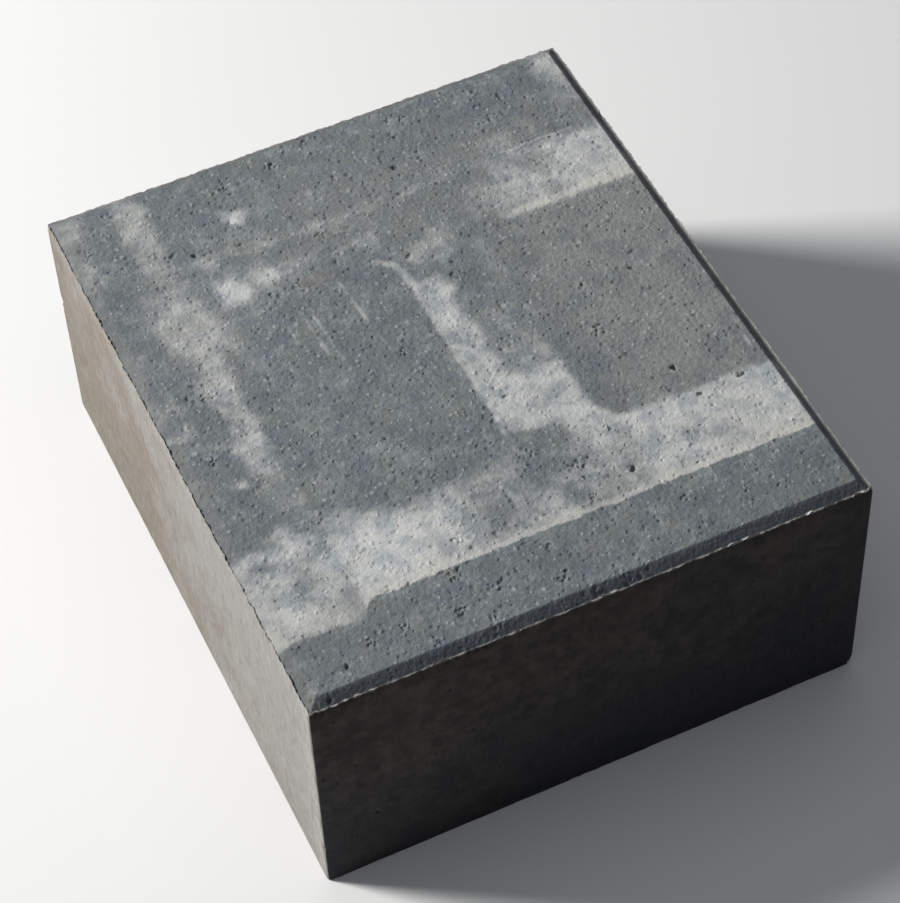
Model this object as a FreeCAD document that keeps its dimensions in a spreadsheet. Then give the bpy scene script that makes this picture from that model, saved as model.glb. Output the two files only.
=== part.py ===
"""Concrete step block: one cast piece, 350 mm of tread, 300 mm along the step and 150 mm of rise.

Millimetres. The origin is the middle of the bed face and +Z is up. The riser, the face that shows
in a flight of steps, looks along -Y. The block is pressed right way up in a steel mould: the mould
box forms the straight sides and their small arris, and the press plate forms the tread and the
chamfer round it. The plate is a little smaller than the box, which leaves a narrow land between the
foot of the chamfer and the side faces.
"""

import FreeCAD, Part
import math
import os

import Sketcher

OUT = "parts"

# Driving dimensions: alias in the sheet, value in millimetres, what it measures.
SIZES = [
    ("width", 300, "along the step, side face to side face"),
    ("depth", 350, "of the tread, riser to back face"),
    ("rise", 150, "bed face to tread"),
    ("chamfer_run", 6, "of the chamfer, seen from above"),
    ("chamfer_drop", 4, "of the chamfer, tread to land"),
    ("land", 1, "between the foot of the chamfer and the side faces"),
    ("arris_radius", 2, "of the four upright edges"),
]

# Levels and outlines that follow from them.
LAND_LEVEL = "sizes.rise - sizes.chamfer_drop"
TREAD_LEVEL = "sizes.rise"
TREAD_INSET = "sizes.land + sizes.chamfer_run"
SIDE_RADIUS = "sizes.arris_radius"
HEAD_RADIUS = "sizes.arris_radius - sizes.land"

# Sketcher's numbers for the points of a line or an arc, and its origin.
START, END, CENTRE = 1, 2, 3
SKETCH_ORIGIN = (-1, 1)


def make_sheet(doc):
    """The spreadsheet that every feature reads its sizes from."""
    sheet = doc.addObject("Spreadsheet::Sheet", "sizes")
    for row, (alias, value, meaning) in enumerate(SIZES, start=1):
        sheet.set(f"A{row}", str(value))
        sheet.set(f"B{row}", meaning)
        sheet.setAlias(f"A{row}", alias)
    doc.recompute()
    return sheet


def add_rounded_rectangle(sketch, width, depth, radius):
    """Draws the four sides and four corner arcs, and returns the numbers of both."""
    up = FreeCAD.Vector(0, 0, 1)
    x, y = width / 2 - radius, depth / 2 - radius
    centres = [FreeCAD.Vector(*place, 0) for place in ((x, y), (-x, y), (-x, -y), (x, -y))]
    outward = [FreeCAD.Vector(*way, 0) * radius for way in ((0, 1), (-1, 0), (0, -1), (1, 0))]

    sides, arcs = [], []
    for corner in range(4):
        following = (corner + 1) % 4
        side = Part.LineSegment(centres[corner] + outward[corner], centres[following] + outward[corner])
        quarter = Part.ArcOfCircle(
            Part.Circle(centres[corner], up, radius),
            math.radians(90 * corner),
            math.radians(90 * following if following else 360),
        )
        sides.append(sketch.addGeometry(side))
        arcs.append(sketch.addGeometry(quarter))
    return sides, arcs


def draw_outline(body, sheet, name, level=None, inset="0", radius=SIDE_RADIUS):
    """A rounded rectangle centred on the origin, inside the block's own outline by inset.

    level, inset and radius are expressions over the sheet; with no level the outline lies on the bed.
    """
    sketch = body.newObject("Sketcher::SketchObject", name)
    sketch.AttachmentSupport = [(next(f for f in body.Origin.OriginFeatures if f.Role == "XY_Plane"), "")]
    sketch.MapMode = "FlatFace"
    if level:
        sketch.setExpression("AttachmentOffset.Base.z", level)

    sides, arcs = add_rounded_rectangle(sketch, sheet.width, sheet.depth, sheet.arris_radius)
    back, left, front, right = sides
    next_arcs = arcs[1:] + arcs[:1]
    rules = [Sketcher.Constraint("Tangent", arc, END, side, START) for arc, side in zip(arcs, sides)]
    rules += [Sketcher.Constraint("Tangent", side, END, arc, START) for side, arc in zip(sides, next_arcs)]
    rules += [Sketcher.Constraint("Horizontal", side) for side in (back, front)]
    rules += [Sketcher.Constraint("Vertical", side) for side in (left, right)]
    rules += [Sketcher.Constraint("Equal", arcs[0], arc) for arc in arcs[1:]]
    rules += [Sketcher.Constraint("Symmetric", arcs[0], CENTRE, arcs[2], CENTRE, *SKETCH_ORIGIN)]
    sketch.addConstraint(rules)

    measures = [
        ("across", Sketcher.Constraint("DistanceX", left, START, right, START, sheet.width),
         f"sizes.width - 2 * ({inset})"),
        ("deep", Sketcher.Constraint("DistanceY", front, START, back, START, sheet.depth),
         f"sizes.depth - 2 * ({inset})"),
        ("corner", Sketcher.Constraint("Radius", arcs[0], sheet.arris_radius), radius),
    ]
    for label, rule, expression in measures:
        sketch.renameConstraint(sketch.addConstraint(rule), label)
        sketch.setExpression(f"Constraints.{label}", expression)
    return sketch


def make_block(doc, sheet):
    """The one solid: straight sides up to the land, then the chamfered head up to the tread."""
    body = doc.addObject("PartDesign::Body", "step_block")
    body.Label = "step_block"

    sides = body.newObject("PartDesign::Pad", "straight_sides")
    sides.Profile = draw_outline(body, sheet, "bed_outline")
    sides.setExpression("Length", LAND_LEVEL)

    head = body.newObject("PartDesign::AdditiveLoft", "chamfered_head")
    head.Profile = draw_outline(body, sheet, "chamfer_foot", LAND_LEVEL, "sizes.land", HEAD_RADIUS)
    head.Sections = [draw_outline(body, sheet, "tread_outline", TREAD_LEVEL, TREAD_INSET, HEAD_RADIUS)]
    head.Ruled = True

    body.Tip = head
    doc.recompute()
    return body


def check(doc, bodies):
    """Stops the build on a failed feature, or on a body that isn't one valid solid."""
    for item in doc.Objects:
        faults = {"Invalid", "Error"} & set(item.State)
        if faults:
            raise RuntimeError(f"{item.Name} is {', '.join(sorted(faults))}")
    for body in bodies:
        shape = body.Shape
        if shape.isNull() or not shape.isValid() or len(shape.Solids) != 1:
            raise RuntimeError(f"{body.Label} is not one valid solid")


def main():
    doc = FreeCAD.newDocument("step_block")
    bodies = [make_block(doc, make_sheet(doc))]
    check(doc, bodies)
    os.makedirs(OUT, exist_ok=True)
    for body in bodies:
        box = body.Shape.BoundBox
        print(f"{body.Label}: {box.XLength:.2f} x {box.YLength:.2f} x {box.ZLength:.2f} mm, "
              f"{body.Shape.Volume / 1e6:.4f} litres")
        body.Shape.exportStep(os.path.join(OUT, f"{body.Label}.step"))


main()
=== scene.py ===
"""Looks of the concrete step block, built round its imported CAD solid.

The block is one piece, "cast_block": a closed skin with the pressed chamfer, the ragged fin that the
mould left at its foot, air holes and chips, and a node material on each side. Shapes are worked out in
millimetres from the front left corner of the bed, and turned into metres once, at the end.
"""

from math import cos, radians, sin

import bpy
import numpy as np
from mathutils import Matrix, Vector
from mathutils.geometry import delaunay_2d_cdt


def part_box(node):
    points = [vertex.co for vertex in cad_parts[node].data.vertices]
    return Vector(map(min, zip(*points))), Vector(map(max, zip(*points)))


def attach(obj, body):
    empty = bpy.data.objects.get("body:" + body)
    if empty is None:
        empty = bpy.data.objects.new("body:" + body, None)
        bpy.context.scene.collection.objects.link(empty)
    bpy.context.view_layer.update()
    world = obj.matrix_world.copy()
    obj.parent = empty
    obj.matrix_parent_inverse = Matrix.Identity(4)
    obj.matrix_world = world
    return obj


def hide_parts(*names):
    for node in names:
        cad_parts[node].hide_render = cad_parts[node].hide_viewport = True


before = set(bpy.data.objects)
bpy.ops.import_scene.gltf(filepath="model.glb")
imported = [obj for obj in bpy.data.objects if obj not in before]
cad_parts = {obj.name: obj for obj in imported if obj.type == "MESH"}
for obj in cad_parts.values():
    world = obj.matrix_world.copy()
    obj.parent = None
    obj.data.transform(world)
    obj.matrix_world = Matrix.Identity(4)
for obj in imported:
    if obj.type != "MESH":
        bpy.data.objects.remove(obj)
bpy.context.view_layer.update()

MM = 0.001
NODE = "step_block"
LOW, HIGH = (np.array(corner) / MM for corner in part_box(NODE))
WIDTH, DEPTH, RISE = (round(float(size), 3) for size in HIGH - LOW)
PLAN = np.array([WIDTH, DEPTH])

# The pressed head and the upright edges, in millimetres, as the solid has them.
CHAMFER_RUN, CHAMFER_DROP, LAND, ARRIS = 6.0, 4.0, 1.0, 2.0
LAND_LEVEL = RISE - CHAMFER_DROP
TREAD_INSET = LAND + CHAMFER_RUN
# How much wider the press left the land along the right edge.
WIDER_LAND = 1.6
RIGHT_LAND = LAND + WIDER_LAND

# Mesh spacing in millimetres.
COARSER = 1.0
FIN_PITCH = 0.85 * COARSER
EDGE_PITCH = 1.8 * COARSER
UPRIGHT_PITCH = 2.4 * COARSER
TREAD_PITCH = 2.5 * COARSER
SIDE_PITCH = 5.0 * COARSER
BED_PITCH = 5.5 * COARSER
CHIP_PITCH = 0.55 * COARSER
LEAST_GAP = 0.25
# Rows of points along the edges, each at its distance from one: on the fin, over the head, round the foot,
# under the top of a side, and where an upright arris turns.
FIN_ROWS = (0, 0.3, 0.6, 0.9, 1.25)
HEAD_ROWS = (2.0, 3.2, 4.6, 5.8, 6.5, 6.9, 7.3, 8.2)
FOOT_ROWS = (0, 0.3, 0.7, 1.2, 2.0, 3.5)
TOP_ROWS = (0.4, 1.1, 2.4)
ARRIS_ROWS = np.array([0, 0.5, 1.0, 1.5, ARRIS, 1.5 * ARRIS])
# How far in the loose grid starts, on the tread and on the other faces.
TREAD_GRID, SIDE_GRID = TREAD_INSET + 2.5, 5.5
# Added to the weld keys of points inside a panel, so that only points on panel edges are shared.
KEY_APART, KEYS_PER_MM = 1e4, 100
# How near counts as on an edge and as the same place, and the least number to divide by.
ON_EDGE, TOUCHING, TINY = 1e-3, 1e-6, 1e-9


# ---- noise over arrays of points

class Noise:
    """Smooth seeded noise over two coordinates, from 0 to 1."""

    CELLS = 128

    def __init__(self, seed):
        self.grid = np.random.default_rng(seed).random((self.CELLS, self.CELLS))

    def __call__(self, u, v, size):
        a, b = u / size, v / size
        i, j = np.floor(a).astype(int), np.floor(b).astype(int)
        s, t = (x * x * (3 - 2 * x) for x in (a - i, b - j))
        grid, cells = self.grid, self.CELLS
        near = grid[i % cells, j % cells] * (1 - s) + grid[(i + 1) % cells, j % cells] * s
        far = grid[i % cells, (j + 1) % cells] * (1 - s) + grid[(i + 1) % cells, (j + 1) % cells] * s
        return near * (1 - t) + far * t


def smooth_min(a, b, width):
    """The lesser of two heights, with the crease between them rounded over width."""
    return np.minimum(a, b) - np.maximum(width - np.abs(a - b), 0) ** 2 / (4 * width)


# ---- the six panels

class Panel:
    """One face of the block's box: a corner, two directions along it and its size along each."""

    def __init__(self, name, corner, along_u, along_v, size):
        self.name, self.size = name, np.array(size)
        self.corner, self.u, self.v = (np.array(x, float) for x in (corner, along_u, along_v))
        self.normal = np.cross(self.u, self.v)

    def place(self, flat):
        """Points of the panel, given as (u, v), in block millimetres."""
        return self.corner + flat[:, :1] * self.u + flat[:, 1:] * self.v

    def flatten(self, points):
        """(u, v) of block points, and how far out of the panel each lies."""
        offset = points - self.corner
        return np.stack([offset @ self.u, offset @ self.v], 1), offset @ self.normal

    def edge_distance(self, flat):
        return np.minimum(flat, self.size - flat).min(1)


X, Y, Z = np.eye(3)
PANELS = [
    Panel("tread", (0, 0, LAND_LEVEL), X, Y, (WIDTH, DEPTH)),
    Panel("bed", (0, 0, 0), Y, X, (DEPTH, WIDTH)),
    Panel("riser", (0, 0, 0), X, Z, (WIDTH, LAND_LEVEL)),
    Panel("right", (WIDTH, 0, 0), Y, Z, (DEPTH, LAND_LEVEL)),
    Panel("back", (WIDTH, DEPTH, 0), -X, Z, (WIDTH, LAND_LEVEL)),
    Panel("left", (0, DEPTH, 0), -Y, Z, (DEPTH, LAND_LEVEL)),
]


# ---- air holes and chips

class Hole:
    """An air hole: where it lies on its panel, its half length and half width, depth and turn.

    A lump of grit is a hole of negative depth.
    """

    def __init__(self, u, v, radius, depth, stretch, turn):
        self.at, self.depth = np.array([u, v]), depth
        self.cos, self.sin = cos(turn), sin(turn)
        self.half = np.array([radius * stretch, radius])
        self.reach = radius * stretch

    def distance(self, flat):
        """How far points lie from its middle, as a share of its own size."""
        offset = flat - self.at
        along = offset[:, 0] * self.cos + offset[:, 1] * self.sin
        across = offset[:, 1] * self.cos - offset[:, 0] * self.sin
        return np.hypot(along / self.half[0], across / self.half[1])

    def ring(self, share, count):
        angle = np.arange(count) * 2 * np.pi / count + share
        oval = np.stack([np.cos(angle) * self.half[0], np.sin(angle) * self.half[1]], 1) * share
        return self.at + oval @ np.array([[self.cos, self.sin], [-self.sin, self.cos]])

    def points(self):
        """Mesh points that follow the hole: closer together in a large one."""
        if self.depth < 0:
            rings = ((0.5, 5), (1.05, 7))
        elif self.reach > 1.1:
            rings = ((0.4, 5), (0.72, 9), (1.0, 12), (1.3, 12))
        else:
            rings = ((0.55, 6), (1.0, 8), (1.4, 8))
        return np.concatenate([self.at[None]] + [self.ring(*ring) for ring in rings])


# The holes that stand out on the tread: x and y of the middle, radius, depth, stretch and turn.
TREAD_HOLES = [
    (248, 110, 1.7, 2.6, 1.1, 0.3), (276, 91, 1.1, 1.8, 2.6, 0.25),
    (252, 89, 1.0, 1.4, 1.3, 0.0), (260, 180, 1.2, 1.8, 1.3, 0.2),
    (27, 16, 1.0, 1.3, 1.7, 1.4), (61, 290, 1.3, 1.5, 1.4, 2.3),
    (200, 61, 1.5, 1.7, 1.4, 0.6), (181, 301, 1.6, 1.3, 1.3, 2.6),
    (12.5, 3.4, 1.1, 1.5, 1.4, 0.8), (232, 181, 1.0, 1.1, 1.2, 1.0),
]
# Groups of holes that run into each other: x and y of the middle, spread and how many.
TREAD_CLUSTERS = [
    (141, 37, 3.4, 9), (95, 41, 4.2, 12), (175, 54, 3.2, 8), (126, 274, 3.4, 9), (93, 328, 3.4, 9),
    (141, 18, 3.0, 7), (88, 22, 4.0, 10), (112, 26, 3.2, 7), (60, 24, 3.0, 6), (131, 181, 3.0, 7),
    (200, 333, 2.6, 6), (150, 4.5, 4.5, 9), (168, 5, 4.0, 9), (178, 3.2, 3.0, 6), (100, 9, 3.4, 8),
    (70, 10, 3.0, 6), (122, 333, 3.2, 8), (146, 344, 3.0, 7), (225, 150, 3.4, 8), (158, 92, 3.0, 6),
    (105, 60, 3.2, 7), (178, 76, 3.6, 8), (18, 158, 3.4, 7), (30, 198, 2.8, 6), (43, 22, 2.6, 6),
    (214, 33, 2.6, 6), (245, 26, 2.6, 5), (12, 316, 3.0, 6),
]
# Scattered holes on each panel: how many, radius of the smallest and of the largest.
SCATTER = {
    "tread": (360, 0.45, 1.5),
    "bed": (240, 0.6, 2.6),
    "riser": (110, 0.45, 1.25),
    "right": (60, 0.45, 1.3),
    "back": (60, 0.45, 1.4),
    "left": (46, 0.4, 1.1),
}
HOLE_MARGIN = 2.0
# Lumps of grit on the tread: how many, radius of the smallest and of the largest, and how proud of
# the tread's own surface the highest stands.
LUMP_COUNT, LUMP_LEAST, LUMP_MOST, LUMP_RISE = 260, 0.5, 1.4, 0.35
# Chips knocked out of edges and corners: middle and radius.
CHIPS = [
    ((WIDTH + 1.2, -1.2, -0.5), 4.8), ((WIDTH + 1.0, -1.0, 4.0), 3.2),
    ((-1.6, DEPTH + 0.6, 88.0), 4.6), ((-1.4, DEPTH + 1.2, 82.0), 3.8),
    ((WIDTH + 1.8, -1.8, LAND_LEVEL + 2.4), 5.6), ((WIDTH + 0.6, 290.0, LAND_LEVEL + 1.2), 2.6),
    ((6.0, 2.4, RISE - 0.6), 2.2), ((166.0, 0.6, LAND_LEVEL + 1.8), 2.2),
    ((173.5, 1.6, LAND_LEVEL + 2.2), 2.2), ((215.0, 1.2, LAND_LEVEL + 1.8), 1.5),
    ((-0.6, 0.4, 30.0), 1.4), ((WIDTH + 1.0, 90.0, -0.8), 3.2),
    ((WIDTH + 1.2, 251.0, -0.5), 3.4), ((110.0, DEPTH + 1.0, -0.8), 3.0),
    ((238.0, DEPTH + 1.2, -0.4), 3.6), ((WIDTH + 1.0, DEPTH + 1.0, 40.0), 3.0),
    ((-1.0, DEPTH + 1.0, 0.0), 3.4), ((WIDTH + 1.4, DEPTH + 1.4, -0.6), 4.6),
]


def scattered_holes(panel, random):
    """Holes at random, most of them small, kept off the panel's edges."""
    count, least, most = SCATTER[panel.name]
    margin = (TREAD_INSET if panel.name == "tread" else 0) + HOLE_MARGIN
    holes = []
    for _ in range(count):
        radius = least + (most - least) * random.random() ** 2.4
        stretch = 1 + 0.9 * random.random() ** 2
        room = margin + radius * stretch
        u, v = room + random.random(2) * (panel.size - 2 * room)
        depth = radius * random.uniform(0.25, 0.6)
        holes.append(Hole(u, v, radius, depth, stretch, random.uniform(0, np.pi)))
    return holes


def lump(u, v, random):
    """A grain of grit that stands out of the tread."""
    radius = random.uniform(LUMP_LEAST, LUMP_MOST)
    height = LUMP_RISE * random.uniform(0.5, 1.6)
    return Hole(u, v, radius, -height, random.uniform(1, 1.6), random.uniform(0, np.pi))


def tread_holes(random):
    """The tread's named holes, its clusters of pits with grit between them, and scattered grit."""
    holes = [Hole(*values) for values in TREAD_HOLES]
    for x, y, spread, count in TREAD_CLUSTERS:
        for index in range(count + count // 2):
            u, v = np.array([x, y]) + random.normal(size=2) * spread * 0.5
            radius = random.uniform(0.55, 1.15)
            if min(u, v, WIDTH - u, DEPTH - v) < radius * 1.6 + LAND:
                continue
            if index < count:
                depth = radius * random.uniform(0.35, 0.8)
                holes.append(Hole(u, v, radius, depth, 1.4, random.uniform(0, np.pi)))
            else:
                holes.append(lump(u, v, random))
    room = TREAD_INSET + HOLE_MARGIN
    places = random.uniform(room, (WIDTH - room, DEPTH - room), (LUMP_COUNT, 2))
    return holes + [lump(u, v, random) for u, v in places]


def holes_on(panel):
    random = np.random.default_rng(sum(map(ord, panel.name)))
    holes = scattered_holes(panel, random)
    if panel.name == "tread":
        holes += tread_holes(random)
    return holes


def hole_depth(flat, holes):
    """How far each point of a panel is sunk by the deepest hole over it, less the highest lump."""
    pits, lumps = np.zeros(len(flat)), np.zeros(len(flat))
    order = np.argsort(flat[:, 0], kind="stable")
    sorted_u = flat[order, 0]
    rough = Noise(31)
    wobble = 0.8 * (rough(flat[:, 0], flat[:, 1], 0.9) - 0.5)
    for hole in holes:
        reach = hole.reach * 1.5
        first, last = np.searchsorted(sorted_u, (hole.at[0] - reach, hole.at[0] + reach))
        near = order[first:last]
        near = near[np.abs(flat[near, 1] - hole.at[1]) < reach]
        away = hole.distance(flat[near]) + wobble[near]
        bowl = hole.depth * np.clip(1 - np.clip(away, 0, None) ** 3, 0, 1)
        if hole.depth < 0:
            lumps[near] = np.minimum(lumps[near], bowl)
        else:
            pits[near] = np.maximum(pits[near], bowl)
    return pits + lumps


# ---- points of the mesh

def stations(length, pitch):
    """Places along an edge, alike from both ends, and close together where the arris is rounded."""
    start = ARRIS_ROWS[-1]
    count = max(2, round((length - 2 * start) / pitch) + 1)
    middle = np.linspace(start, length - start, count)
    half = np.round(np.concatenate([ARRIS_ROWS, middle[middle <= length / 2]]), 2)
    return np.unique(np.round(np.concatenate([half, length - half]), 2))


def row(at_u, at_v):
    """Points with one coordinate given as an array and the other as a number."""
    return np.stack(np.broadcast_arrays(at_u, at_v), -1).reshape(-1, 2).astype(float)


def frame_rows(size, insets, pitch):
    """Rectangular rows of points, each a given distance in from the panel's edges."""
    rows = []
    for inset in insets:
        for axis in (0, 1):
            along = stations(size[axis], pitch)
            along = along[(along >= inset) & (along <= size[axis] - inset)]
            for across in (inset, size[1 - axis] - inset):
                rows.append(row(along, across) if axis == 0 else row(across, along))
        corners = [(u, v) for u in (inset, size[0] - inset) for v in (inset, size[1] - inset)]
        rows.append(np.array(corners, float))
    return rows


def jittered(size, pitch, margin, seed):
    """A loose grid of points over a panel, away from its edges."""
    counts = np.maximum(1, np.round((size - 2 * margin) / pitch)).astype(int)
    steps = (size - 2 * margin) / counts
    index = np.stack(np.meshgrid(*(np.arange(n) for n in counts), indexing="ij"), -1).reshape(-1, 2)
    wander = np.random.default_rng(seed).uniform(0.2, 0.8, index.shape)
    return margin + (index + wander) * steps


def chip_points(panel):
    """Extra points where a chip reaches the panel, so that its scoop is crisp."""
    found = []
    for centre, radius in CHIPS:
        flat, out = panel.flatten(np.array([centre], float))
        reach = radius * 1.25 + (CHAMFER_DROP if panel.name == "tread" else 0)
        if abs(out[0]) > reach:
            continue
        count = int(2 * reach / CHIP_PITCH) + 1
        steps = np.linspace(-reach, reach, count)
        patch = flat[0] + np.stack(np.meshgrid(steps, steps), -1).reshape(-1, 2)
        patch = patch[np.hypot(*(patch - flat[0]).T) < reach]
        found.append(patch[panel.edge_distance(patch) > LEAST_GAP])
    return found


def panel_points(panel, holes):
    """Every mesh point of a panel, the ones on its edges first."""
    size = panel.size
    if panel.name == "tread":
        rows = frame_rows(size, FIN_ROWS, FIN_PITCH)
        rows += frame_rows(size, HEAD_ROWS, EDGE_PITCH)
        rows.append(jittered(size, TREAD_PITCH, TREAD_GRID, seed=7))
    elif panel.name == "bed":
        rows = frame_rows(size, FOOT_ROWS, EDGE_PITCH)
        rows.append(jittered(size, BED_PITCH, SIDE_GRID, seed=8))
    else:
        width, top = size
        fin, foot = stations(width, FIN_PITCH), stations(width, EDGE_PITCH)
        upright = stations(top, UPRIGHT_PITCH)
        rows = [row(fin, top), row(foot, 0), row(0, upright), row(width, upright)]
        rows += [row(fin, top - down) for down in TOP_ROWS]
        rows += [row(foot, up) for up in FOOT_ROWS[1:]]
        rows += [row(u, upright) for u in (*ARRIS_ROWS[1:], *(width - ARRIS_ROWS[1:]))]
        rows.append(jittered(size, SIDE_PITCH, SIDE_GRID, seed=9))
    rows += [hole.points() for hole in holes]
    rows += chip_points(panel)
    return thinned(np.concatenate(rows))


def thinned(points):
    """Drops a point that shares a small cell with an earlier one, so that no slivers form."""
    cell = np.floor(points / LEAST_GAP + 0.5).astype(np.int64)
    _, first = np.unique(cell[:, 0] * 100_003 + cell[:, 1], return_index=True)
    return points[np.sort(first)]


# ---- salt bloom on the tread

# Each stain: left, right, front, back, how many millimetres its rim takes to fade, and strength. A
# negative strength thins the salt laid before it.
STAINS = [
    # front bar, left of the joint
    (6, 21, 38, 83, 8, 0.56), (16, 47, 39, 94, 13, 0.46), (6, 46, 88, 97, 5, 0.45),
    (20, 34, 96, 105, 6, 0.36), (39, 51, 67, 81, 6, 0.5), (6.5, 9.5, 36, 96, 3, 0.3),
    (31, 46, 39, 48, 5, 0.28), (8, 30, 40, 56, 8, 0.4),
    # front bar, the white stretch
    (48, 92, 36, 88, 10, 0.8), (82, 124, 36, 82, 26, 0.5), (49, 76, 78, 104, 12, 0.55),
    (72, 112, 74, 92, 11, 0.36), (55, 92, 49, 74, 12, 0.55), (62, 72, 52, 80, 8, 0.4),
    (92, 104, 68, 78, 7, 0.3),
    # front bar, the mottled stretch and its pale front line
    (100, 162, 36, 74, 18, 0.28), (99, 119, 57, 82, 9, 0.3), (102, 152, 72, 93, 12, 0.26),
    (142, 218, 36, 70, 15, 0.27), (60, 294, 40, 50.6, 3.5, 0.5), (156, 214, 66, 92, 16, 0.28),
    (176, 206, 80, 108, 14, 0.42), (146, 162, 46, 64, 8, 0.35),
    # front bar, the right stretch
    (209, 296, 36, 95, 9, 0.66), (263, 294, 50, 82, 11, 0.42), (222, 250, 76, 93, 9, 0.35),
    (204, 226, 84, 99, 8, 0.35), (228, 246, 52, 62, 8, 0.3), (266, 294, 78, 93, 8, 0.3),
    # between the bare panels
    (152, 201, 106, 142, 9, 0.6), (157, 180, 118, 140, 8, 0.08), (184, 200, 108, 138, 8, 0.2),
    (155, 200, 136, 160, 13, 0.32), (184, 206, 94, 114, 9, 0.46), (154, 171, 138, 168, 7, 0.4),
    (154, 171, 162, 219, 6, 0.5), (157, 170, 186, 215, 7, 0.52), (152.5, 156, 98, 232, 3, 0.4),
    (168, 192, 158, 186, 14, 0.18), (177, 189, 232, 250, 6, 0.36), (160, 176, 228, 248, 10, 0.26),
    (138, 154, 252, 263, 7, 0.34), (98, 142, 252, 265, 12, 0.1),
    # back bar
    (223, 296, 236, 283, 9, 0.4), (258, 296, 242, 284, 13, 0.52), (205, 229, 245, 273, 15, 0.26),
    (217, 296, 236, 246.5, 3.5, 0.7), (234, 247, 246, 271, 10, 0.3), (236, 243, 240, 248, 4, 0.5),
    (262, 271, 241, 248, 4, 0.5), (228, 245, 284, 299, 7, 0.26),
    # left bar, from the back
    (32, 48.5, 284, 354, 8, 0.3), (33, 47, 312, 340, 10, 0.22), (34, 49, 258, 290, 10, 0.16),
    (24, 57, 226, 273, 15, 0.3), (31, 51, 229, 265, 12, 0.2), (32, 46.5, 138, 230, 6, 0.38),
    (29, 46, 190, 216, 10, 0.26), (27, 44, 156, 162.5, 4, 0.4), (37, 48, 98, 143, 7, 0.18),
    (48, 61, 223, 242, 8, 0.26), (20, 36, 236, 245, 5, 0.24),
    # left margin
    (6, 17, 330, 350, 8, 0.34), (7, 12.5, 290, 334, 6, 0.28), (6, 14, 192, 214, 7, 0.2),
    (8, 17, 177, 185, 5, 0.42), (20, 28, 135, 140, 3, 0.5), (6, 15, 214, 242, 8, 0.14),
    (13, 19, 261, 267, 5, 0.26),
    # spots
    (84, 96, 300, 311.5, 7, 0.74), (61, 76.5, 248, 268, 8, 0.7), (81.5, 96, 252.5, 268, 8, 0.58),
    (56, 104, 248, 272, 14, 0.14), (60, 68, 276, 284, 6, 0.3), (23, 34, 25, 32, 6, 0.28),
    # thin places in the bars
    (248, 266, 53, 68, 9, -0.8), (108, 134, 56, 80, 14, -0.5), (144, 170, 50, 66, 10, -0.5),
    (186, 201, 110, 124, 8, -0.35), (70, 84, 60, 74, 8, -0.3), (226, 240, 64, 78, 8, -0.4),
    (276, 290, 58, 72, 8, -0.3), (152, 186, 74, 104, 12, -0.5), (240, 262, 262, 276, 8, -0.3),
    (10, 34, 60, 78, 9, -0.3),
    # back right corner
    (277, 296, 306, 354, 11, 0.32), (281, 294, 326, 350, 9, 0.32),
    # the pale band across the back, and haze
    (50, 230, 279.8, 286.8, 3.5, 0.15), (44, 82, 203, 247, 22, 0.1), (60, 90, 112, 150, 24, 0.08),
    (197, 212, 174, 240, 8, 0.14), (283, 296, 94, 242, 9, 0.16), (205, 296, 95, 242, 30, 0.05),
    (205, 222, 124, 138, 9, 0.2), (244, 256, 130, 240, 12, 0.07),
]
# The waves in a stain's outline: size of each and how far it moves the outline.
WANDERS = ((11.0, 4.6), (4.0, 2.6))
# How round a stain's corners are, as a share of its fade, and the largest exponent worked out.
CORNER_ROUNDING, EXP_LIMIT = 0.25, 60.0


def bloom_density(x, y):
    """How thickly the salt lies at each point of the tread, from 0 to 1, with ragged outlines."""
    at_x, at_y = np.maximum(x, TREAD_INSET + 1), np.minimum(y, DEPTH - TREAD_INSET - 1)
    for seed, (size, reach) in enumerate(WANDERS, 41):
        at_x += reach * (Noise(seed)(x, y, size) - 0.5)
        at_y += reach * (Noise(seed + 10)(x, y, size) - 0.5)
    clear = np.ones(len(x))
    for left, right, front, back, fade, strength in STAINS:
        rounding = fade * CORNER_ROUNDING
        margins = np.stack([at_x - left, right - at_x, at_y - front, back - at_y])
        inside = -rounding * np.log(np.exp(-np.clip(margins / rounding, -EXP_LIMIT, EXP_LIMIT)).sum(0))
        share = np.clip(inside / fade + 0.5, 0, 1)
        clear *= 1 - strength * share * share * (3 - 2 * share)
    return np.clip(1 - clear, 0, 1)


# ---- the cast shape

# How wide the change is between the rims of two edges.
CORNER_BLEND = 5.0


def beside_right(x, y):
    """1 beside the right edge, where the land is wider, and 0 beside the others."""
    others = np.minimum(x, np.minimum(y, DEPTH - y))
    return np.clip((others - (WIDTH - x)) / CORNER_BLEND + 0.5, 0, 1)


# The fin: its least height, how much its teeth add and its width. Along the right edge it is wider and
# lower by a share, and along the back edge it stands at a share of its height elsewhere.
FIN_LEAST, FIN_TEETH, FIN_WIDTH = 0.15, 1.5, 0.62
WIDER_FIN, LOWER_FIN, BACK_FIN = 0.2, 0.3, 0.3
# How far the creases at the foot and the top of the chamfer are rounded.
CREASE = 0.4
# How far down and how far in the bites at the fin reach, and how far in they point.
BITE_DROP, BITE_GAP, BITE_AIM = 2.5, 1.5, 3.0
# The least radius of the worn bottom edge, and how much wear adds.
WORN_LEAST, WORN_MORE = 0.5, 1.5
# A chip's ragged reach as shares of its radius: the least, what its grain adds, and the most.
CHIP_LEAST, CHIP_GRAIN, CHIP_MOST = 0.82, 0.28, 1.3


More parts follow.
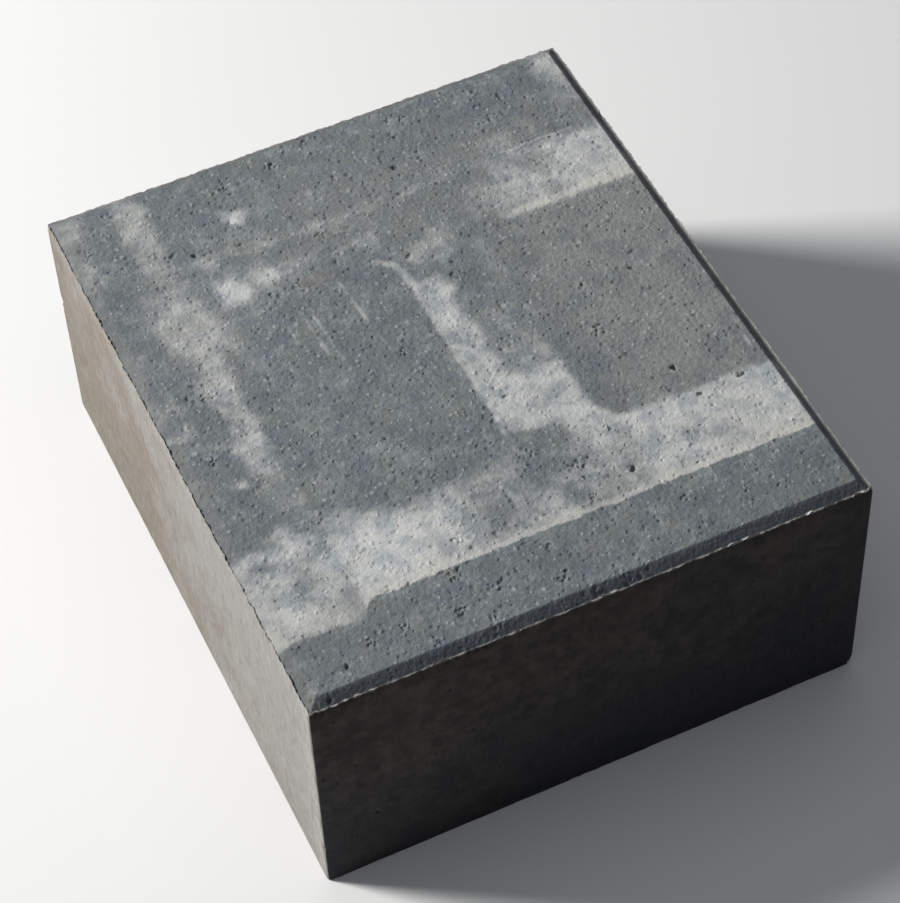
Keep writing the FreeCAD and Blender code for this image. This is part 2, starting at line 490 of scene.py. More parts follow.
def fin_height(x, y):
    """How far the ragged fin at the edge of the mould stands above the land."""
    ragged, broken = Noise(3), Noise(4)
    teeth = 0.9 * ragged(x, y, 1.5) + 0.8 * ragged(y + 40, x, 3.8)
    standing = np.clip(1.9 * broken(x, y, 13.0) - 0.2, 0.45, 1) * np.clip((DEPTH - y) / 3, BACK_FIN, 1)
    height = FIN_LEAST + FIN_TEETH * np.clip(teeth - 0.5, 0, 1) * standing
    return height * (1 - LOWER_FIN * beside_right(x, y))


def pressed_height(edge, x, y):
    """Height of the head over its land: the land, the chamfer, the tread under its grit, and the fin."""
    land = LAND + WIDER_LAND * beside_right(x, y)
    slope = CHAMFER_DROP * (edge - land) / (TREAD_INSET - land)
    head = smooth_min(-smooth_min(-slope, 0 * slope, CREASE), CHAMFER_DROP - LUMP_RISE, CREASE)
    fin_width = FIN_WIDTH + WIDER_FIN * beside_right(x, y)
    return head + fin_height(x, y) * np.exp(-((edge / fin_width) ** 2))


def ragged_rim(points):
    """Bites into the outline at the top of the sides, where the fin broke away."""
    x, y, z = points.T
    gap = np.minimum(points[:, :2], PLAN - points[:, :2]).min(1)
    reach = np.clip((z - LAND_LEVEL + BITE_DROP) / BITE_DROP, 0, 1) * np.clip(1 - gap / BITE_GAP, 0, 1)
    bite = (0.8 * Noise(14)(x, y, 1.4) + 0.7 * Noise(15)(x, y, 3.6)) * reach
    inward = np.clip(points[:, :2], BITE_AIM, PLAN - BITE_AIM) - points[:, :2]
    points[:, :2] += inward / np.maximum(np.hypot(*inward.T), TINY)[:, None] * bite[:, None]


def from_arris(points):
    """The arris centre nearest each point in the plan, the way out from it, and how far that is."""
    centre = np.clip(points[:, :2], ARRIS, PLAN - ARRIS)
    out = points[:, :2] - centre
    return centre, out, np.hypot(*out.T)


def round_arrises(points):
    """Turns the square corners of the plan into quarter circles."""
    centre, out, length = from_arris(points)
    scale = np.where(length > 0, np.abs(out).max(1) / np.maximum(length, TINY), 1)
    points[:, :2] = centre + out * scale[:, None]


def round_bed_edge(points):
    """Wears the bottom edge to an uneven round, from the sides and from the bed alike."""
    centre, out, length = from_arris(points)
    outward = out / np.maximum(length, TINY)[:, None]
    crumbled = Noise(5)(points[:, 0], points[:, 1], 3.5) * Noise(6)(points[:, 0], points[:, 1], 17.0)
    radius = WORN_LEAST + WORN_MORE * crumbled
    inset = radius - (ARRIS - length)
    above = radius - points[:, 2]
    worn = (length > 0) & (inset > 0) & (above > 0)
    scale = np.maximum(inset, above) / np.maximum(np.hypot(inset, above), TINY)
    new_length = ARRIS - (radius - inset * scale)
    points[worn, :2] = (centre + outward * new_length[:, None])[worn]
    points[worn, 2] = (radius - above * scale)[worn]


def knock_chips(points):
    """Scoops each chip out of the block: points inside its ragged ball move out to its surface."""
    rough = Noise(12)
    for centre, radius in CHIPS:
        away = points - np.array(centre)
        distance = np.linalg.norm(away, axis=1)
        near = distance < radius * CHIP_MOST
        p = points[near]
        grain = rough(p[:, 0] + p[:, 2], p[:, 1] - p[:, 2], 1.3)
        grain += 0.6 * rough(p[:, 1], p[:, 0] + p[:, 2], 0.7)
        reach = radius * (CHIP_LEAST + CHIP_GRAIN * grain)
        hit = distance[near] < reach
        index = np.flatnonzero(near)[hit]
        points[index] = np.array(centre) + away[index] / distance[index, None] * reach[hit, None]


# The faces' slow waves: how deep, how long, how far shifted and how far in from an edge they reach in full.
SIDE_WAVE, TREAD_WAVE, WAVE_SIZE, WAVE_SHIFT, WAVE_RIM = 0.3, 0.12, 46.0, 37.0, 12.0


def cast_panel(panel):
    """A panel's weld keys, points, triangles, how sunk each point is and how salty."""
    holes = holes_on(panel)
    flat = panel_points(panel, holes)
    flat, _, triangles, *_ = delaunay_2d_cdt([Vector(p) for p in flat], [], [], 0, TOUCHING)
    flat = np.array([tuple(p) for p in flat])
    points = panel.place(flat)
    edge = panel.edge_distance(flat)
    key = np.where((edge < ON_EDGE)[:, None], points, points + KEY_APART * (1 + PANELS.index(panel)))
    sunk = hole_depth(flat, holes)
    depth = TREAD_WAVE if panel.name == "tread" else SIDE_WAVE
    wave = depth * np.clip(edge / WAVE_RIM, 0, 1) * Noise(20)(flat[:, 0] + WAVE_SHIFT, flat[:, 1], WAVE_SIZE)
    salt = bloom_density(flat[:, 0], flat[:, 1]) if panel.name == "tread" else np.zeros(len(flat))
    if panel.name == "tread":
        points[:, 2] += pressed_height(edge, points[:, 0], points[:, 1])
    else:
        rim = np.abs(points[:, 2] - LAND_LEVEL) < TOUCHING
        points[rim, 2] += fin_height(points[rim, 0], points[rim, 1])
    points -= panel.normal * (sunk + wave)[:, None]
    return key, points, np.array(triangles, int), sunk, salt


def weld(keys):
    """One number per distinct point. Panels that meet share the points of their common edge."""
    whole = np.round(keys * KEYS_PER_MM).astype(np.int64)
    _, first, number = np.unique(whole, axis=0, return_index=True, return_inverse=True)
    return first, number.ravel()


def placed(name, data):
    """A new object of the scene."""
    thing = bpy.data.objects.new(name, data)
    bpy.context.scene.collection.objects.link(thing)
    return thing


def build_block():
    """The closed skin as one mesh object, with one material a panel."""
    keys, points, triangles, sunk, salt = zip(*(cast_panel(panel) for panel in PANELS))
    starts = np.cumsum([0] + [len(part) for part in keys])
    first, number = weld(np.concatenate(keys))
    points = np.concatenate(points)[first]
    marks = {"hollow": np.concatenate(sunk)[first], "bloom": np.concatenate(salt)[first]}
    owner = np.repeat(np.arange(len(PANELS)), [len(part) for part in triangles])
    triangles = number[np.concatenate([part + start for part, start in zip(triangles, starts)])]
    round_arrises(points)
    round_bed_edge(points)
    ragged_rim(points)
    knock_chips(points)
    points = np.clip(points, 0, [WIDTH, DEPTH, RISE])

    mesh = bpy.data.meshes.new("cast_block")
    mesh.vertices.add(len(points))
    mesh.vertices.foreach_set("co", ((LOW + points) * MM).astype(np.float32).ravel())
    mesh.loops.add(triangles.size)
    mesh.loops.foreach_set("vertex_index", triangles.astype(np.int32).ravel())
    mesh.polygons.add(len(triangles))
    mesh.polygons.foreach_set("loop_start", np.arange(0, triangles.size, 3, dtype=np.int32))
    mesh.update(calc_edges=True)
    mesh.polygons.foreach_set("material_index", owner.astype(np.int32))
    mesh.polygons.foreach_set("use_smooth", np.ones(len(triangles), bool))
    for name, values in marks.items():
        mark = mesh.attributes.new(name, "FLOAT", "POINT")
        mark.data.foreach_set("value", values.astype(np.float32))
    mesh.validate()
    return placed("cast_block", mesh)


# ---- node materials

def linear(tone):
    """The linear colour, with its alpha, of a tone: red, green and blue on the eye's 0 to 255 scale."""
    parts = [c / 255 for c in tone]
    return (*(c / 12.92 if c <= 0.04045 else ((c + 0.055) / 1.055) ** 2.4 for c in parts), 1)


class Field:
    """A number that varies over the surface: a node's output, with ordinary arithmetic."""

    def __init__(self, tree, socket):
        self.tree, self.socket = tree, socket

    def _math(self, operation, *values, clamp=False):
        node = self.tree.nodes.new("ShaderNodeMath")
        node.operation, node.use_clamp = operation, clamp
        for slot, value in zip(node.inputs, values):
            feed(self.tree, slot, value)
        return Field(self.tree, node.outputs[0])

    def __add__(self, other):
        return self._math("ADD", self, other)

    def __sub__(self, other):
        return self._math("SUBTRACT", self, other)

    def __rsub__(self, other):
        return self._math("SUBTRACT", other, self)

    def __mul__(self, other):
        return self._math("MULTIPLY", self, other)

    def either(self, other):
        """The greater of the two."""
        return self._math("MAXIMUM", self, other)

    def both(self, other):
        """The lesser of the two."""
        return self._math("MINIMUM", self, other)

    def size(self):
        return self._math("ABSOLUTE", self)

    def clamped(self):
        """Itself, kept from 0 to 1."""
        return self._math("ADD", self, 0, clamp=True)

    def ramp(self, start, end, top=1.0):
        """0 before start and top after end, with a smooth rise between."""
        node = self.tree.nodes.new("ShaderNodeMapRange")
        node.interpolation_type = "SMOOTHSTEP"
        feed(self.tree, node.inputs["Value"], self)
        low, high, to_low, to_high = (start, end, 0.0, top) if start < end else (end, start, top, 0.0)
        for name, value in (("From Min", low), ("From Max", high), ("To Min", to_low), ("To Max", to_high)):
            node.inputs[name].default_value = value
        return Field(self.tree, node.outputs["Result"])


def feed(tree, slot, value):
    """Links a field or a socket to a node's input, or sets a plain value on it."""
    if isinstance(value, Field):
        tree.links.new(value.socket, slot)
    elif isinstance(value, bpy.types.NodeSocket):
        tree.links.new(value, slot)
    else:
        slot.default_value = value


class Surface:
    """A material under construction: its node tree, its coordinates and its shader."""

    def __init__(self, name):
        self.material = bpy.data.materials.new(name)
        self.material.use_nodes = True
        self.tree = self.material.node_tree
        self.tree.nodes.clear()
        self.shader = self.tree.nodes.new("ShaderNodeBsdfPrincipled")
        output = self.tree.nodes.new("ShaderNodeOutputMaterial")
        self.tree.links.new(self.shader.outputs["BSDF"], output.inputs["Surface"])
        source = self.tree.nodes.new("ShaderNodeTexCoord").outputs["Object"]
        scaled = self.vector("SCALE", source, scale=1 / MM)
        self.place = self.vector("SUBTRACT", scaled, tuple(LOW))
        self.x, self.y, self.z = self.parts(self.place)

    def vector(self, operation, a, b=None, scale=None):
        node = self.tree.nodes.new("ShaderNodeVectorMath")
        node.operation = operation
        feed(self.tree, node.inputs[0], a)
        if b is not None:
            feed(self.tree, node.inputs[1], b)
        if scale is not None:
            node.inputs["Scale"].default_value = scale
        return node.outputs["Value" if operation == "LENGTH" else "Vector"]

    def parts(self, vector):
        node = self.tree.nodes.new("ShaderNodeSeparateXYZ")
        self.tree.links.new(vector, node.inputs[0])
        return [Field(self.tree, output) for output in node.outputs]

    def texture(self, kind, at, stretch, shift):
        """A texture node over the places at, or over the block's own, stretched and then shifted."""
        node = self.tree.nodes.new(kind)
        scaled = self.vector("MULTIPLY_ADD", at or self.place, stretch)
        scaled.node.inputs[2].default_value = shift
        feed(self.tree, node.inputs["Vector"], scaled)
        node.inputs["Scale"].default_value = 1.0
        return node

    def noise(self, size, seed, detail=2.0, rough=0.55, squeeze=(1, 1, 1), at=None):
        """Noise with features of about size millimetres. A squeeze under 1 draws them out along its axis."""
        shift = (seed * 7.3, seed * 3.1, seed * 5.7)
        node = self.texture("ShaderNodeTexNoise", at, tuple(s / size for s in squeeze), shift)
        node.inputs["Detail"].default_value = detail
        node.inputs["Roughness"].default_value = rough
        return Field(self.tree, node.outputs["Fac"])

    def grains(self, size, seed, share, inner, outer, at=None):
        """Round grains about size millimetres apart. share of the cells hold one."""
        shift = (seed * 9.1, seed * 4.7, seed * 2.3)
        node = self.texture("ShaderNodeTexVoronoi", at, (1 / size,) * 3, shift)
        picked, varied, _ = self.parts(node.outputs["Color"])
        here = picked.ramp(share + 0.02, share)
        distance = Field(self.tree, node.outputs["Distance"]) * (1.4 - varied * 0.8)
        return distance.ramp(outer, inner) * here

    def warped(self, size, reach, seed):
        """The place of each point, moved about by noise so that what is laid out there is ragged."""
        shift = self.noise(size, seed, detail=3.0).socket.node.outputs["Color"]
        centred = self.vector("SUBTRACT", shift, (0.5, 0.5, 0.5))
        return self.vector("ADD", self.vector("SCALE", centred, scale=reach), self.place)

    def attribute(self, name):
        node = self.tree.nodes.new("ShaderNodeAttribute")
        node.attribute_name = name
        return Field(self.tree, node.outputs["Fac"])

    def mix(self, share, base, over):
        """base where share is 0 and over where it is 1. Both are tones or sockets."""
        node = self.tree.nodes.new("ShaderNodeMix")
        node.data_type = "RGBA"
        feed(self.tree, node.inputs["Factor"], share)
        for slot, value in ((node.inputs["A"], base), (node.inputs["B"], over)):
            feed(self.tree, slot, linear(value) if isinstance(value, tuple) else value)
        return node.outputs["Result"]

    def coats(self, base, *layers):
        """A tone with layers of others over it, each given as the share it covers and its tone."""
        for share, over in layers:
            base = self.mix(share, base, over)
        return base

    def finish(self, base_colour, roughness, height, depth_mm):
        """Joins colour, roughness and relief to the shader. height runs from 0 to about 1."""
        bump = self.tree.nodes.new("ShaderNodeBump")
        bump.inputs["Strength"].default_value = 1.0
        bump.inputs["Distance"].default_value = depth_mm * MM
        feed(self.tree, bump.inputs["Height"], height)
        feed(self.tree, self.shader.inputs["Base Color"], base_colour)
        feed(self.tree, self.shader.inputs["Roughness"], roughness)
        self.tree.links.new(bump.outputs["Normal"], self.shader.inputs["Normal"])
        self.shader.inputs["Specular IOR Level"].default_value = 0.35
        return self.material


# ---- the tread

# The bare panels, as left, right, front, back and corner radius.
LEFT_PANEL = (48.5, 152.5, 80.0, 243.0, 17.0)
RIGHT_PANEL = (200.5, 315.0, 93.0, 241.0, 18.0)
# How far back the bare front band reaches, how far at its left end, and x of the step between.
BARE_FRONT, BARE_FRONT_LEFT, BARE_STEP_X = 46.5, 38.0, 49.0
# Higher than the block, so that height never counts in a distance to a panel.
ANY_HEIGHT = 1e4


def rounded_box(s, at, left, right, front, back, corner):
    """Signed distance in millimetres to a rectangle with round corners, negative inside."""
    middle, half = ((left + right) / 2, (front + back) / 2), ((right - left) / 2, (back - front) / 2)
    offset = s.vector("ABSOLUTE", s.vector("SUBTRACT", at, (*middle, 0)))
    past = s.vector("SUBTRACT", offset, (half[0] - corner, half[1] - corner, ANY_HEIGHT))
    outside = s.vector("LENGTH", s.vector("MAXIMUM", past, (0, 0, 0)))
    past_x, past_y, _ = s.parts(past)
    inside = past_x.either(past_y).both(0)
    return Field(s.tree, outside) + inside - corner


def bare_share(s, at, at_y):
    """Where the tread stayed clean: the front band and the two panels."""
    step = s.x.ramp(BARE_STEP_X - 3, BARE_STEP_X + 3, BARE_FRONT - BARE_FRONT_LEFT)
    front = (at_y - (step + BARE_FRONT_LEFT)).ramp(0.9, -0.9)
    left = rounded_box(s, at, *LEFT_PANEL).ramp(1.4, -2.4, 0.9)
    left = left * at_y.ramp(91, 102) * s.x.ramp(52, 78)
    right = rounded_box(s, at, *RIGHT_PANEL).ramp(2.2, -3.4, 0.9)
    return front.either(left).either(right)


def panel_rim(s, at, at_y):
    """The thin bright line where salt dried against the left panel's right side."""
    away = rounded_box(s, at, *LEFT_PANEL)
    line = (away - 1.6).size().ramp(3.6, 0.2)
    faded = at_y.ramp(92, 190) * 0.42 + 0.14
    return line * faded * s.x.ramp(133, 152) * at_y.ramp(84, 96)


def tread_grey(s, cloud, patch, fine):
    """The bare concrete: blue grey, paler in the right panel and the back bar, darker at the left."""
    hue = s.noise(14.0, 12)
    right_panel = s.x.ramp(196, 232) * s.y.ramp(60, 108) * s.y.ramp(252, 226)
    back_bar = s.y.ramp(243, 270) * s.y.ramp(330, 292) * s.x.ramp(45, 130)
    warm = (right_panel * 0.85 + back_bar * 0.35) * cloud.ramp(0.15, 0.65)
    damp = s.x.ramp(222, 204) * right_panel + s.x.ramp(64, 24) * 0.18 + s.y.ramp(46, 30) * 0.2
    rusty = s.x.ramp(98, 106) * s.x.ramp(124, 116) * s.y.ramp(239, 244) * s.y.ramp(252, 247)
    return s.coats(
        (99, 105, 110),
        (cloud.ramp(0.3, 0.7), (115, 120, 121)),
        (hue.ramp(0.5, 0.66) * 0.55, (101, 110, 122)),
        (hue.ramp(0.46, 0.32) * 0.5, (112, 118, 114)),
        (patch.ramp(0.42, 0.75) * 0.5, (134, 141, 143)),
        (warm, (131, 134, 132)),
        (damp.clamped() * 0.6, (90, 95, 98)),
        (rusty * 0.3, (108, 94, 84)),
        (fine.ramp(0.5, 0.3) * 0.35, (80, 85, 91)),
    )


# Fine drag marks: x at the front end, y of both ends, how far it leans over its length, and strength.
DRAG_MARKS = [
    (86, 200, 236, -2, 0.18), (97, 186, 238, -3, 0.25), (103, 176, 236, -4, 0.31), (126, 178, 206, -2, 0.22),
    (124, 200, 246, -4, 0.27), (45, 118, 176, -2, 0.2), (51, 226, 268, -4, 0.34), (288, 92, 128, 3, 0.42),
    (290, 122, 148, 1, 0.25), (246, 178, 222, 1, 0.12), (272, 210, 232, -6, 0.1),
]
# Dried lines across the tread: y, x of both ends and strength.
TIDE_LINES = [(280.8, 58, 228, 0.24), (285.6, 226, 288, 0.4), (92.6, 6, 46, 0.35)]


def fine_lines(s, at):
    """The drag marks, which run straight, and the tide lines, which wander. All taper at both ends."""
    at_x, at_y, _ = s.parts(at)
    marks = None
    for x, front, back, lean, strength in DRAG_MARKS:
        slope = lean / (back - front)
        away = (s.x * 0.86 + at_x * 0.14 - s.y * slope - (x - front * slope)).size()
        ends = s.y.ramp(front, front + 9) * s.y.ramp(back, back - 9)
        mark = away.ramp(1.8, 0.1) * ends * strength
        marks = mark if marks is None else marks.either(mark)
    for y, left, right, strength in TIDE_LINES:
        ends = at_x.ramp(left, left + 8) * at_x.ramp(right, right - 8)
        marks = marks.either((at_y - y).size().ramp(2.1, 0.2) * ends * strength)
    return marks


def salt_cover(s, crisp, crisp_y, cloud, patch, swell):
    """How much of the concrete the salt hides: the mesh's bloom, mottled, and the lines drawn in it."""
    salt = (s.attribute("bloom") * (1 - bare_share(s, crisp, crisp_y))).either(panel_rim(s, crisp, crisp_y))
    salt = salt.either(fine_lines(s, crisp) * patch.ramp(0.25, 0.6))
    mottle = (patch - 0.5) * 1.9 + (swell - 0.5) * 0.3 + (cloud - 0.5) * 0.6
    covered = salt * 0.55 + (salt - 0.4 + mottle * 0.55).ramp(-0.4, 0.5) * 0.45
    return (covered + (cloud * 0.5 + patch * 0.8 - 0.7).ramp(0.0, 0.5) * 0.12).clamped()


def salt_chalk(s, crisp_y, cloud, patch):
    """The salt's own colour: a cool white, warmer at the front rims and in the left bar."""
    front_rim = crisp_y.ramp(60, 47) + crisp_y.ramp(237, 242) * crisp_y.ramp(254, 244)
    left_bar = s.x.ramp(62, 50) * s.y.ramp(130, 230)
    warm = (front_rim * 0.7 + left_bar * 0.45 + cloud.ramp(0.5, 0.68) * 0.4).clamped()
    cool = s.mix(patch.ramp(0.36, 0.6), (168, 174, 178), (197, 199, 197))
    return s.mix(warm, cool, (191, 191, 185))


def edge_coats(s, patch):
    """The layers along the tread's edges: the chamfers, darkened partly with painted shade, the land with a
    painted highlight, salt flecks, and a painted shadow of the fin along the left edge.
    """
    # The front and right chamfers are darkened to a slate blue: partly their own pressed tint, partly
    # painted shade, as they face away from the key light.
    front_chamfer = s.y.ramp(TREAD_INSET + 0.3, TREAD_INSET - 0.3) * s.x.ramp(4, 12)
    right_chamfer = (WIDTH - s.x).ramp(TREAD_INSET + 0.3, TREAD_INSET - 0.3)
    # Painted shade: the left and back chamfers, which face the key light, are darkened to tone their
    # lighting down.
    lit_chamfers = s.x.both(DEPTH - s.y).ramp(TREAD_INSET + 0.6, TREAD_INSET - 1.4)
    edge = s.x.both(WIDTH - s.x).both(s.y).both(DEPTH - s.y)
    # Painted highlight: the land along the front, right and back edges is made lighter, as if the fin caught
    # the key light.
    wide_land = (WIDTH - s.x).ramp(RIGHT_LAND + 0.4, RIGHT_LAND - 0.6)
    land = edge.ramp(LAND + 0.9, LAND - 0.2).either(wide_land) * s.x.ramp(1.0, 3.0)
    flecks = s.grains(7.0, 15, 0.4, 0.12, 0.3) * s.y.ramp(2.2, 1.2)
    dashes = s.noise(5.0, 16, detail=1.0)
    # Painted shadow: a dark dashed line along the left edge, where the fin's shade falls.
    fin_shadow_line = s.x.ramp(1.1, 0.6) * s.y.ramp(6, 14) * dashes.ramp(0.38, 0.48)
    return [
        ((front_chamfer * 0.75).either(right_chamfer * 0.4), (70, 76, 86)),
        (lit_chamfers * 0.4, (56, 53, 49)),
        (land * 0.75, s.mix(patch, (134, 134, 130), (172, 171, 165))),
        (flecks, (224, 224, 220)),
        (fin_shadow_line * 0.85, (50, 49, 47)),
    ]


def tread_material():
    """Dark pressed concrete with salt bloom in bars round two bare panels."""
    s = Surface("concrete_tread")
    crisp = s.warped(6.0, 4.6, 2)
    _, crisp_y, _ = s.parts(crisp)
    gnarled = s.warped(1.6, 1.3, 13)
    cloud = s.noise(18.0, 3, detail=3.0)
    patch = s.noise(8.5, 4, detail=4.0, rough=0.58)
    fine = s.noise(1.7, 5, rough=0.6)
    swell = s.noise(2.6, 9, rough=0.5, at=gnarled)
    grit = s.noise(0.8, 8, rough=0.7)
    light_grains = s.grains(3.1, 6, 0.3, 0.06, 0.36, at=gnarled)
    dents = s.grains(3.9, 10, 0.45, 0.04, 0.34, at=gnarled)
    hollow = s.attribute("hollow")

    covered = salt_cover(s, crisp, crisp_y, cloud, patch, swell)
    base = s.coats(
        tread_grey(s, cloud, patch, fine),
        (covered, salt_chalk(s, crisp_y, cloud, patch)),
        (light_grains * 0.36, (186, 191, 191)),
        (swell.ramp(0.6, 0.74) * 0.2, (170, 176, 178)),
        (swell.ramp(0.4, 0.25) * (0.34 - covered * 0.18), (66, 71, 77)),
        # The dents darkened with painted shade, and the holes with dirt and painted shade.
        (dents * (0.36 - covered * 0.22), (62, 67, 73)),
        (hollow.ramp(0.1, 1.1) * (0.46 - covered * 0.32), (52, 56, 61)),
        (hollow.ramp(-0.05, -0.4) * 0.34, (168, 173, 174)),
        *edge_coats(s, patch),
    )
    relief = fine * 0.8 + swell * 1.5 - dents * 1.3
    height = grit * 0.35 + relief * (1 - covered * 0.35) + light_grains * 0.7
    return s.finish(base, 0.9 - fine * 0.12 + covered * 0.05, height, 0.38)


# ---- the sides and the bed

# The tones of three sides: dark, light, the tint low down, and the rim at the top. The riser's tones are
# darker than the other sides partly by its own brown and partly as painted shade, since it faces away from
# the key light; its bluish tint low down is painted shade too, and each side's rim tone is a painted
# highlight where the fin catches the key light.
RISER_SHADED_TONES = [(38, 35, 33), (69, 63, 59), (39, 42, 50), (140, 137, 130)]
RIGHT_TONES = [(92, 92, 91), (116, 115, 111), (99, 95, 89), (146, 144, 138)]
BACK_TONES = [(108, 105, 99), (132, 128, 121), (110, 103, 94), (146, 143, 136)]
# How light a pore or hole is, as a share of the dark tone: painted shade, with some dirt in the holes.
PORE_SHADE = 0.35


def side_material(name, tones, seed, lean=0.0):
    """A face drawn out of the mould: a fine upright grain, clouds of tint and a few pores. The pores are
    darkened with painted shade and the holes with dirt and painted shade; the fin along the top has a
    painted highlight and the riser a painted shade low down.
    """
    s = Surface(name)
    dark, light, tint, rim = tones
    cloud = s.noise(40.0, seed, detail=3.0)
    blotch = s.noise(9.0, seed + 1, detail=4.0, rough=0.62)
    drag = s.noise(2.2, seed + 2, detail=4.0, rough=0.6, squeeze=(1, 1, 0.3))
    fine = s.noise(0.9, seed + 4, rough=0.7)
    pores = s.grains(4.2, seed + 5, 0.4, 0.1, 0.32)
    specks = s.grains(3.0, seed + 6, 0.16, 0.08, 0.22)
    drift = s.noise(60.0, seed + 9)
    # On the riser the tint low down and towards its right end is painted shade, bluish and dark where less
    # light bounces in; on the right and back sides it is their own warm tint.
    leaning = s.z.ramp(LAND_LEVEL, 0) * (0.4 + lean) + s.x.ramp(0, WIDTH) * lean
    tint_and_low_shade = (drift + leaning).ramp(0.6, 1.05 + lean)

    pore = s.mix(PORE_SHADE, (0, 0, 0), dark)
    base = s.coats(
        dark,
        ((cloud * 0.4 + blotch * 0.6).ramp(0.36, 0.64), light),
        (tint_and_low_shade * 0.8, tint),
        (drag.ramp(0.5, 0.78) * 0.45, light),
        (drag.ramp(0.5, 0.24) * 0.4, dark),
        (fine.ramp(0.55, 0.3) * 0.3, dark),
        (specks * 0.4, light),
        # Painted shade in the pores, and dirt with painted shade in the holes.
        (pores * 0.65, pore),
        (s.attribute("hollow").ramp(0.1, 0.8) * 0.6, pore),
        # Painted highlight: the fin along the top is made lighter, as if it caught the key light.
        (s.z.ramp(LAND_LEVEL - 0.7, LAND_LEVEL + 0.2) * 0.85, rim),
    )
    height = fine * 0.35 + drag * 1.0 + blotch * 0.6 - pores * 0.8
    return s.finish(base, 0.92 - blotch * 0.1, height, 0.3)


def left_material():
    """The lit long side: pale warm grey, browner towards the back and the foot. It is paler than the tread
    partly by its own tone and partly as painted light, standing in for the key light that falls on it.
    """
    s = Surface("concrete_left")
    cloud = s.noise(36.0, 60, detail=3.0)
    blotch = s.noise(9.0, 61, detail=4.0, rough=0.62)
    drag = s.noise(2.6, 62, detail=4.0, rough=0.62, squeeze=(1, 1, 0.65))
    streaks = s.noise(5.0, 63, detail=3.0, squeeze=(1, 1, 0.4))
    fine = s.noise(0.9, 64, rough=0.7)
    pores = s.grains(4.6, 65, 0.26, 0.06, 0.26)
    stains = s.noise(3.4, 67, detail=3.0, rough=0.6, squeeze=(1, 1, 0.28))
    flecks = s.grains(7.0, 66, 0.3, 0.02, 0.2, at=s.vector("MULTIPLY", s.place, (1, 1, 0.45)))

    back = s.y.ramp(40, 340)
    foot = s.z.ramp(150, 0)
    brown = (back * 0.7 + foot * 0.35 + (cloud - 0.5) * 1.1).ramp(0.1, 1.0)
    pale = streaks.ramp(0.56, 0.74) * 0.5 * (1.1 - back * 0.8)
    front_edge = s.y.ramp(26, 4) * streaks.ramp(0.35, 0.6) * 0.6
    base = s.coats(
        # The pale base tone: partly the face's own, partly painted light.
        (136, 135, 132),
        (brown, (113, 106, 97)),
        (cloud.ramp(0.52, 0.66) * back * 0.4, (119, 109, 100)),
        (pale.either(front_edge), (160, 159, 155)),
        (s.z.ramp(LAND_LEVEL - 12, LAND_LEVEL - 3) * 0.3, (150, 149, 145)),
        (flecks * s.y.ramp(150, 20) * 0.5, (178, 176, 170)),
        (stains.ramp(0.5, 0.66) * (brown * 0.4 + 0.3), (100, 90, 80)),
        (blotch.ramp(0.5, 0.74) * 0.35, (108, 102, 95)),
        (blotch.ramp(0.48, 0.26) * 0.3, (153, 150, 143)),
        (drag.ramp(0.52, 0.74) * 0.42, (154, 150, 144)),
        (drag.ramp(0.46, 0.26) * 0.46, (98, 92, 85)),
        # Pores darkened with painted shade, and holes with dirt and painted shade.
        (pores * 0.6, (66, 62, 57)),
        (s.attribute("hollow").ramp(0.1, 0.8) * 0.5, (72, 67, 61)),
    )
    height = fine * 0.35 + drag * 0.7 + streaks * 0.2 + blotch * 0.5 - pores * 0.8
    return s.finish(base, 0.9 - blotch * 0.08, height, 0.26)


def bed_material():
    """The open, unpressed underside: coarse grains with voids between them."""
    s = Surface("concrete_bed")
    cloud = s.noise(50.0, 80, detail=3.0)
    blotch = s.noise(8.0, 81, detail=4.0, rough=0.65)
    fine = s.noise(1.2, 82, detail=3.0, rough=0.7)
    stones = s.grains(4.5, 83, 0.5, 0.12, 0.42)
    voids = s.grains(3.2, 84, 0.35, 0.08, 0.36)
    base = s.coats(
        (92, 93, 92),
        (cloud.ramp(0.3, 0.7), (118, 115, 108)),
        (blotch.ramp(0.4, 0.7) * 0.6, (134, 130, 121)),
        (stones * 0.45, (140, 137, 130)),
        # The voids between the grains darkened with painted shade, and the holes with dirt and painted
        # shade.
        (voids * 0.75, (44, 43, 42)),
        (s.attribute("hollow").ramp(0.1, 1.2) * 0.7, (40, 39, 38)),
    )
    height = fine * 0.5 + blotch * 0.8 + stones * 0.6 - voids
    return s.finish(base, 0.95 - fine * 0.08, height, 0.7)


def floor_material():
    """Plain pale studio board with a faint tooth."""
    s = Surface("studio_floor")
    tooth = s.noise(3.0, 90)
    wide = s.noise(700.0, 91, detail=1.0)
    base = s.mix(wide * 0.5 + tooth * 0.1, (228, 229, 230), (233, 234, 234))
    return s.finish(base, tooth * 0.1 + 0.85, tooth, 0.02)


# ---- stage, camera, light

# The view: degrees round from the riser and above the floor, tilt of the horizon, millimetres.
AZIMUTH, ELEVATION, TILT = -22.85, 50.86, -2.94
DISTANCE, AIM, LENS = 1548.0, (-2.0, -8.0, 75.0), 117.7
SENSOR = 36.0
NEAREST, FURTHEST = 0.05, 50.0
# The key light: degrees round from the riser and above the floor, metres away and across, watts and tint.
KEY_TURN, KEY_LIFT, KEY_DISTANCE, KEY_SIZE, KEY_POWER = -124.0, 32.0, 3.2, 0.8, 152.0
KEY_TINT = (1.0, 0.975, 0.945)
# The soft box overhead: metres up and across, watts and tint.
TOP_HEIGHT, TOP_SIZE, TOP_POWER, TOP_TINT = 2.6, 2.5, 11.0, (0.95, 0.98, 1.0)
SKY = (0.66, 0.70, 0.76, 1)
SKY_STRENGTH = 0.14
FLOOR_SIDE = 12.0


def aimed(location, target):
    """The turn that points an object's -Z from location to target, its Y up."""
    return (Vector(target) - Vector(location)).to_track_quat("-Z", "Y")


def direction(turn, lift):
    """The way to a place seen turn degrees round from the riser and lift degrees above the floor."""
    turn, lift = radians(turn), radians(lift)
    return Vector((sin(turn) * cos(lift), -cos(turn) * cos(lift), sin(lift)))


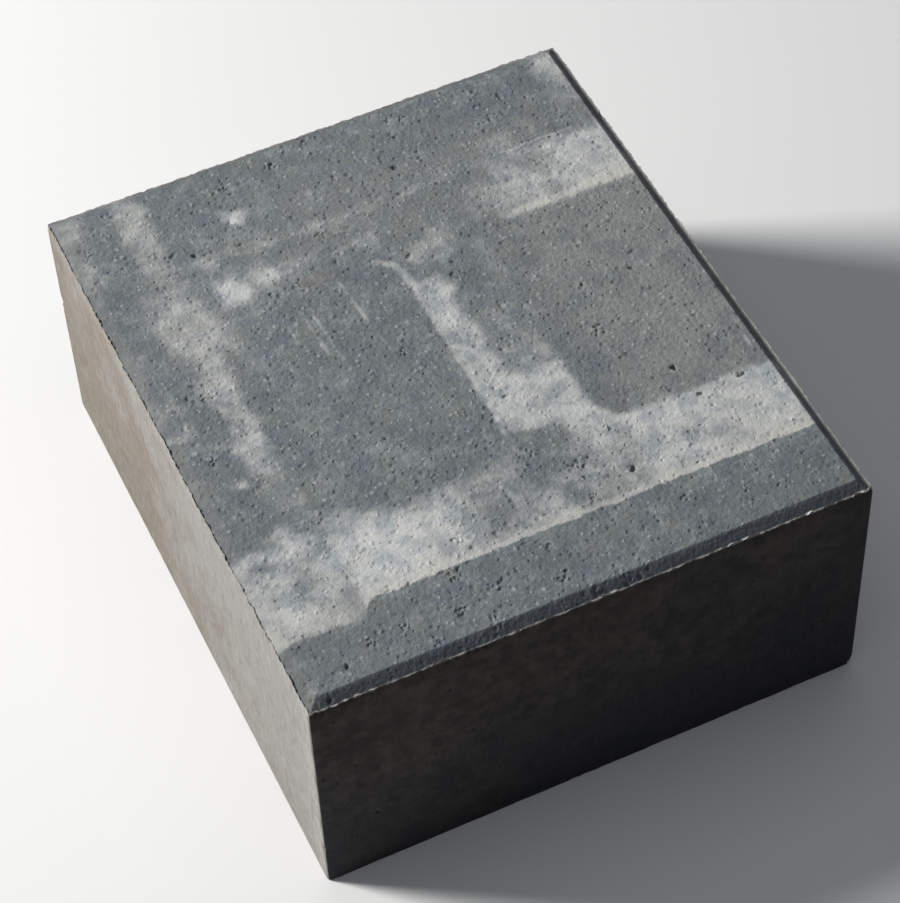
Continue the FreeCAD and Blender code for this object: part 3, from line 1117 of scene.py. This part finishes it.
def place_camera():
    target = Vector(AIM) * MM
    camera = placed("camera", bpy.data.cameras.new("camera"))
    camera.location = target + direction(AZIMUTH, ELEVATION) * DISTANCE * MM
    level = aimed(camera.location, target).to_matrix()
    camera.rotation_euler = (level @ Matrix.Rotation(radians(TILT), 3, "Z")).to_euler()
    camera.data.lens, camera.data.sensor_width, camera.data.sensor_fit = LENS, SENSOR, "AUTO"
    camera.data.clip_start, camera.data.clip_end = NEAREST, FURTHEST
    bpy.context.scene.camera = camera


def place_lamp(name, shape, location, size, power, tint):
    data = bpy.data.lights.new(name, "AREA")
    data.shape, data.size, data.energy, data.color = shape, size, power, tint
    lamp = placed(name, data)
    lamp.location = location
    lamp.rotation_euler = aimed(location, (0, 0, RISE / 2 * MM)).to_euler()


def place_light():
    key_place = direction(KEY_TURN, KEY_LIFT) * KEY_DISTANCE
    place_lamp("key", "DISK", key_place, KEY_SIZE, KEY_POWER, KEY_TINT)
    place_lamp("overhead", "SQUARE", Vector((0, 0, TOP_HEIGHT)), TOP_SIZE, TOP_POWER, TOP_TINT)

    world = bpy.data.worlds.new("studio")
    world.use_nodes = True
    sky = world.node_tree.nodes["Background"]
    sky.inputs["Color"].default_value = SKY
    sky.inputs["Strength"].default_value = SKY_STRENGTH
    bpy.context.scene.world = world


def place_floor():
    half = FLOOR_SIDE / 2
    mesh = bpy.data.meshes.new("studio_floor")
    corners = [(-half, -half, 0), (half, -half, 0), (half, half, 0), (-half, half, 0)]
    mesh.from_pydata(corners, [], [(0, 1, 2, 3)])
    mesh.materials.append(floor_material())
    floor = placed("studio_floor", mesh)


def dress_block():
    block = build_block()
    materials = {
        "tread": tread_material(),
        "bed": bed_material(),
        "riser": side_material("concrete_riser", RISER_SHADED_TONES, 30, lean=0.25),
        "right": side_material("concrete_right", RIGHT_TONES, 40),
        "back": side_material("concrete_back", BACK_TONES, 50),
        "left": left_material(),
    }
    for panel in PANELS:
        block.data.materials.append(materials[panel.name])
    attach(block, "root")
    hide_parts(NODE)


dress_block()
place_floor()
place_camera()
place_light()
bpy.context.scene.view_settings.view_transform = "Standard"
